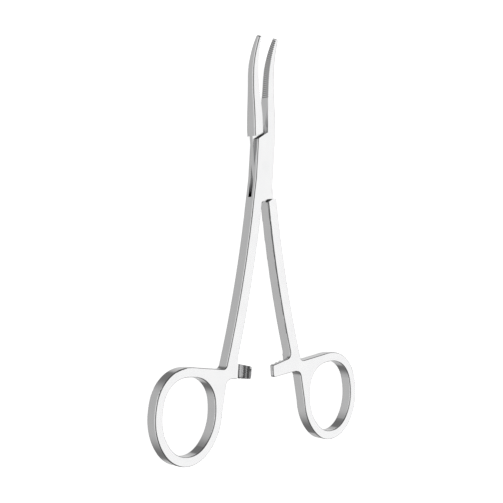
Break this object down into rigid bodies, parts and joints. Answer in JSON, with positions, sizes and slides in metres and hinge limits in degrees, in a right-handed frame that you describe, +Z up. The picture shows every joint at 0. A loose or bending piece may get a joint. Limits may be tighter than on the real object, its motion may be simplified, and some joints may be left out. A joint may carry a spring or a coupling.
{
  "type": "hemostatic forceps",
  "caption": "Curved mosquito hemostatic forceps with box lock, serrated jaws, ratchet and finger rings, slightly open.",
  "frame": {"origin": "on the pin's axis, in the plane of the back faces the forceps rests on", "axes": "+Y along the middle line towards the jaws, +Z up from the rest plane along the pin, the way the jaws curve, +X towards the jaw of the box arm"},
  "size_m": [0.0826, 0.1215, 0.0048],
  "materials": {
    "satin_steel": "satin"
  },
  "bodies": {
    "box_half": {"box_arm": "satin_steel", "lock_pin": "satin_steel"},
    "tongue_half": {"tongue_arm": "satin_steel"}
  },
  "joints": [
    {"name": "lock_hinge", "type": "hinge", "parent": "box_half", "child": "tongue_half", "pos_m": [0, 0, 0.00175], "axis": [0, 0, 1], "range_deg": [-8.7, 41.3]}
  ]
}
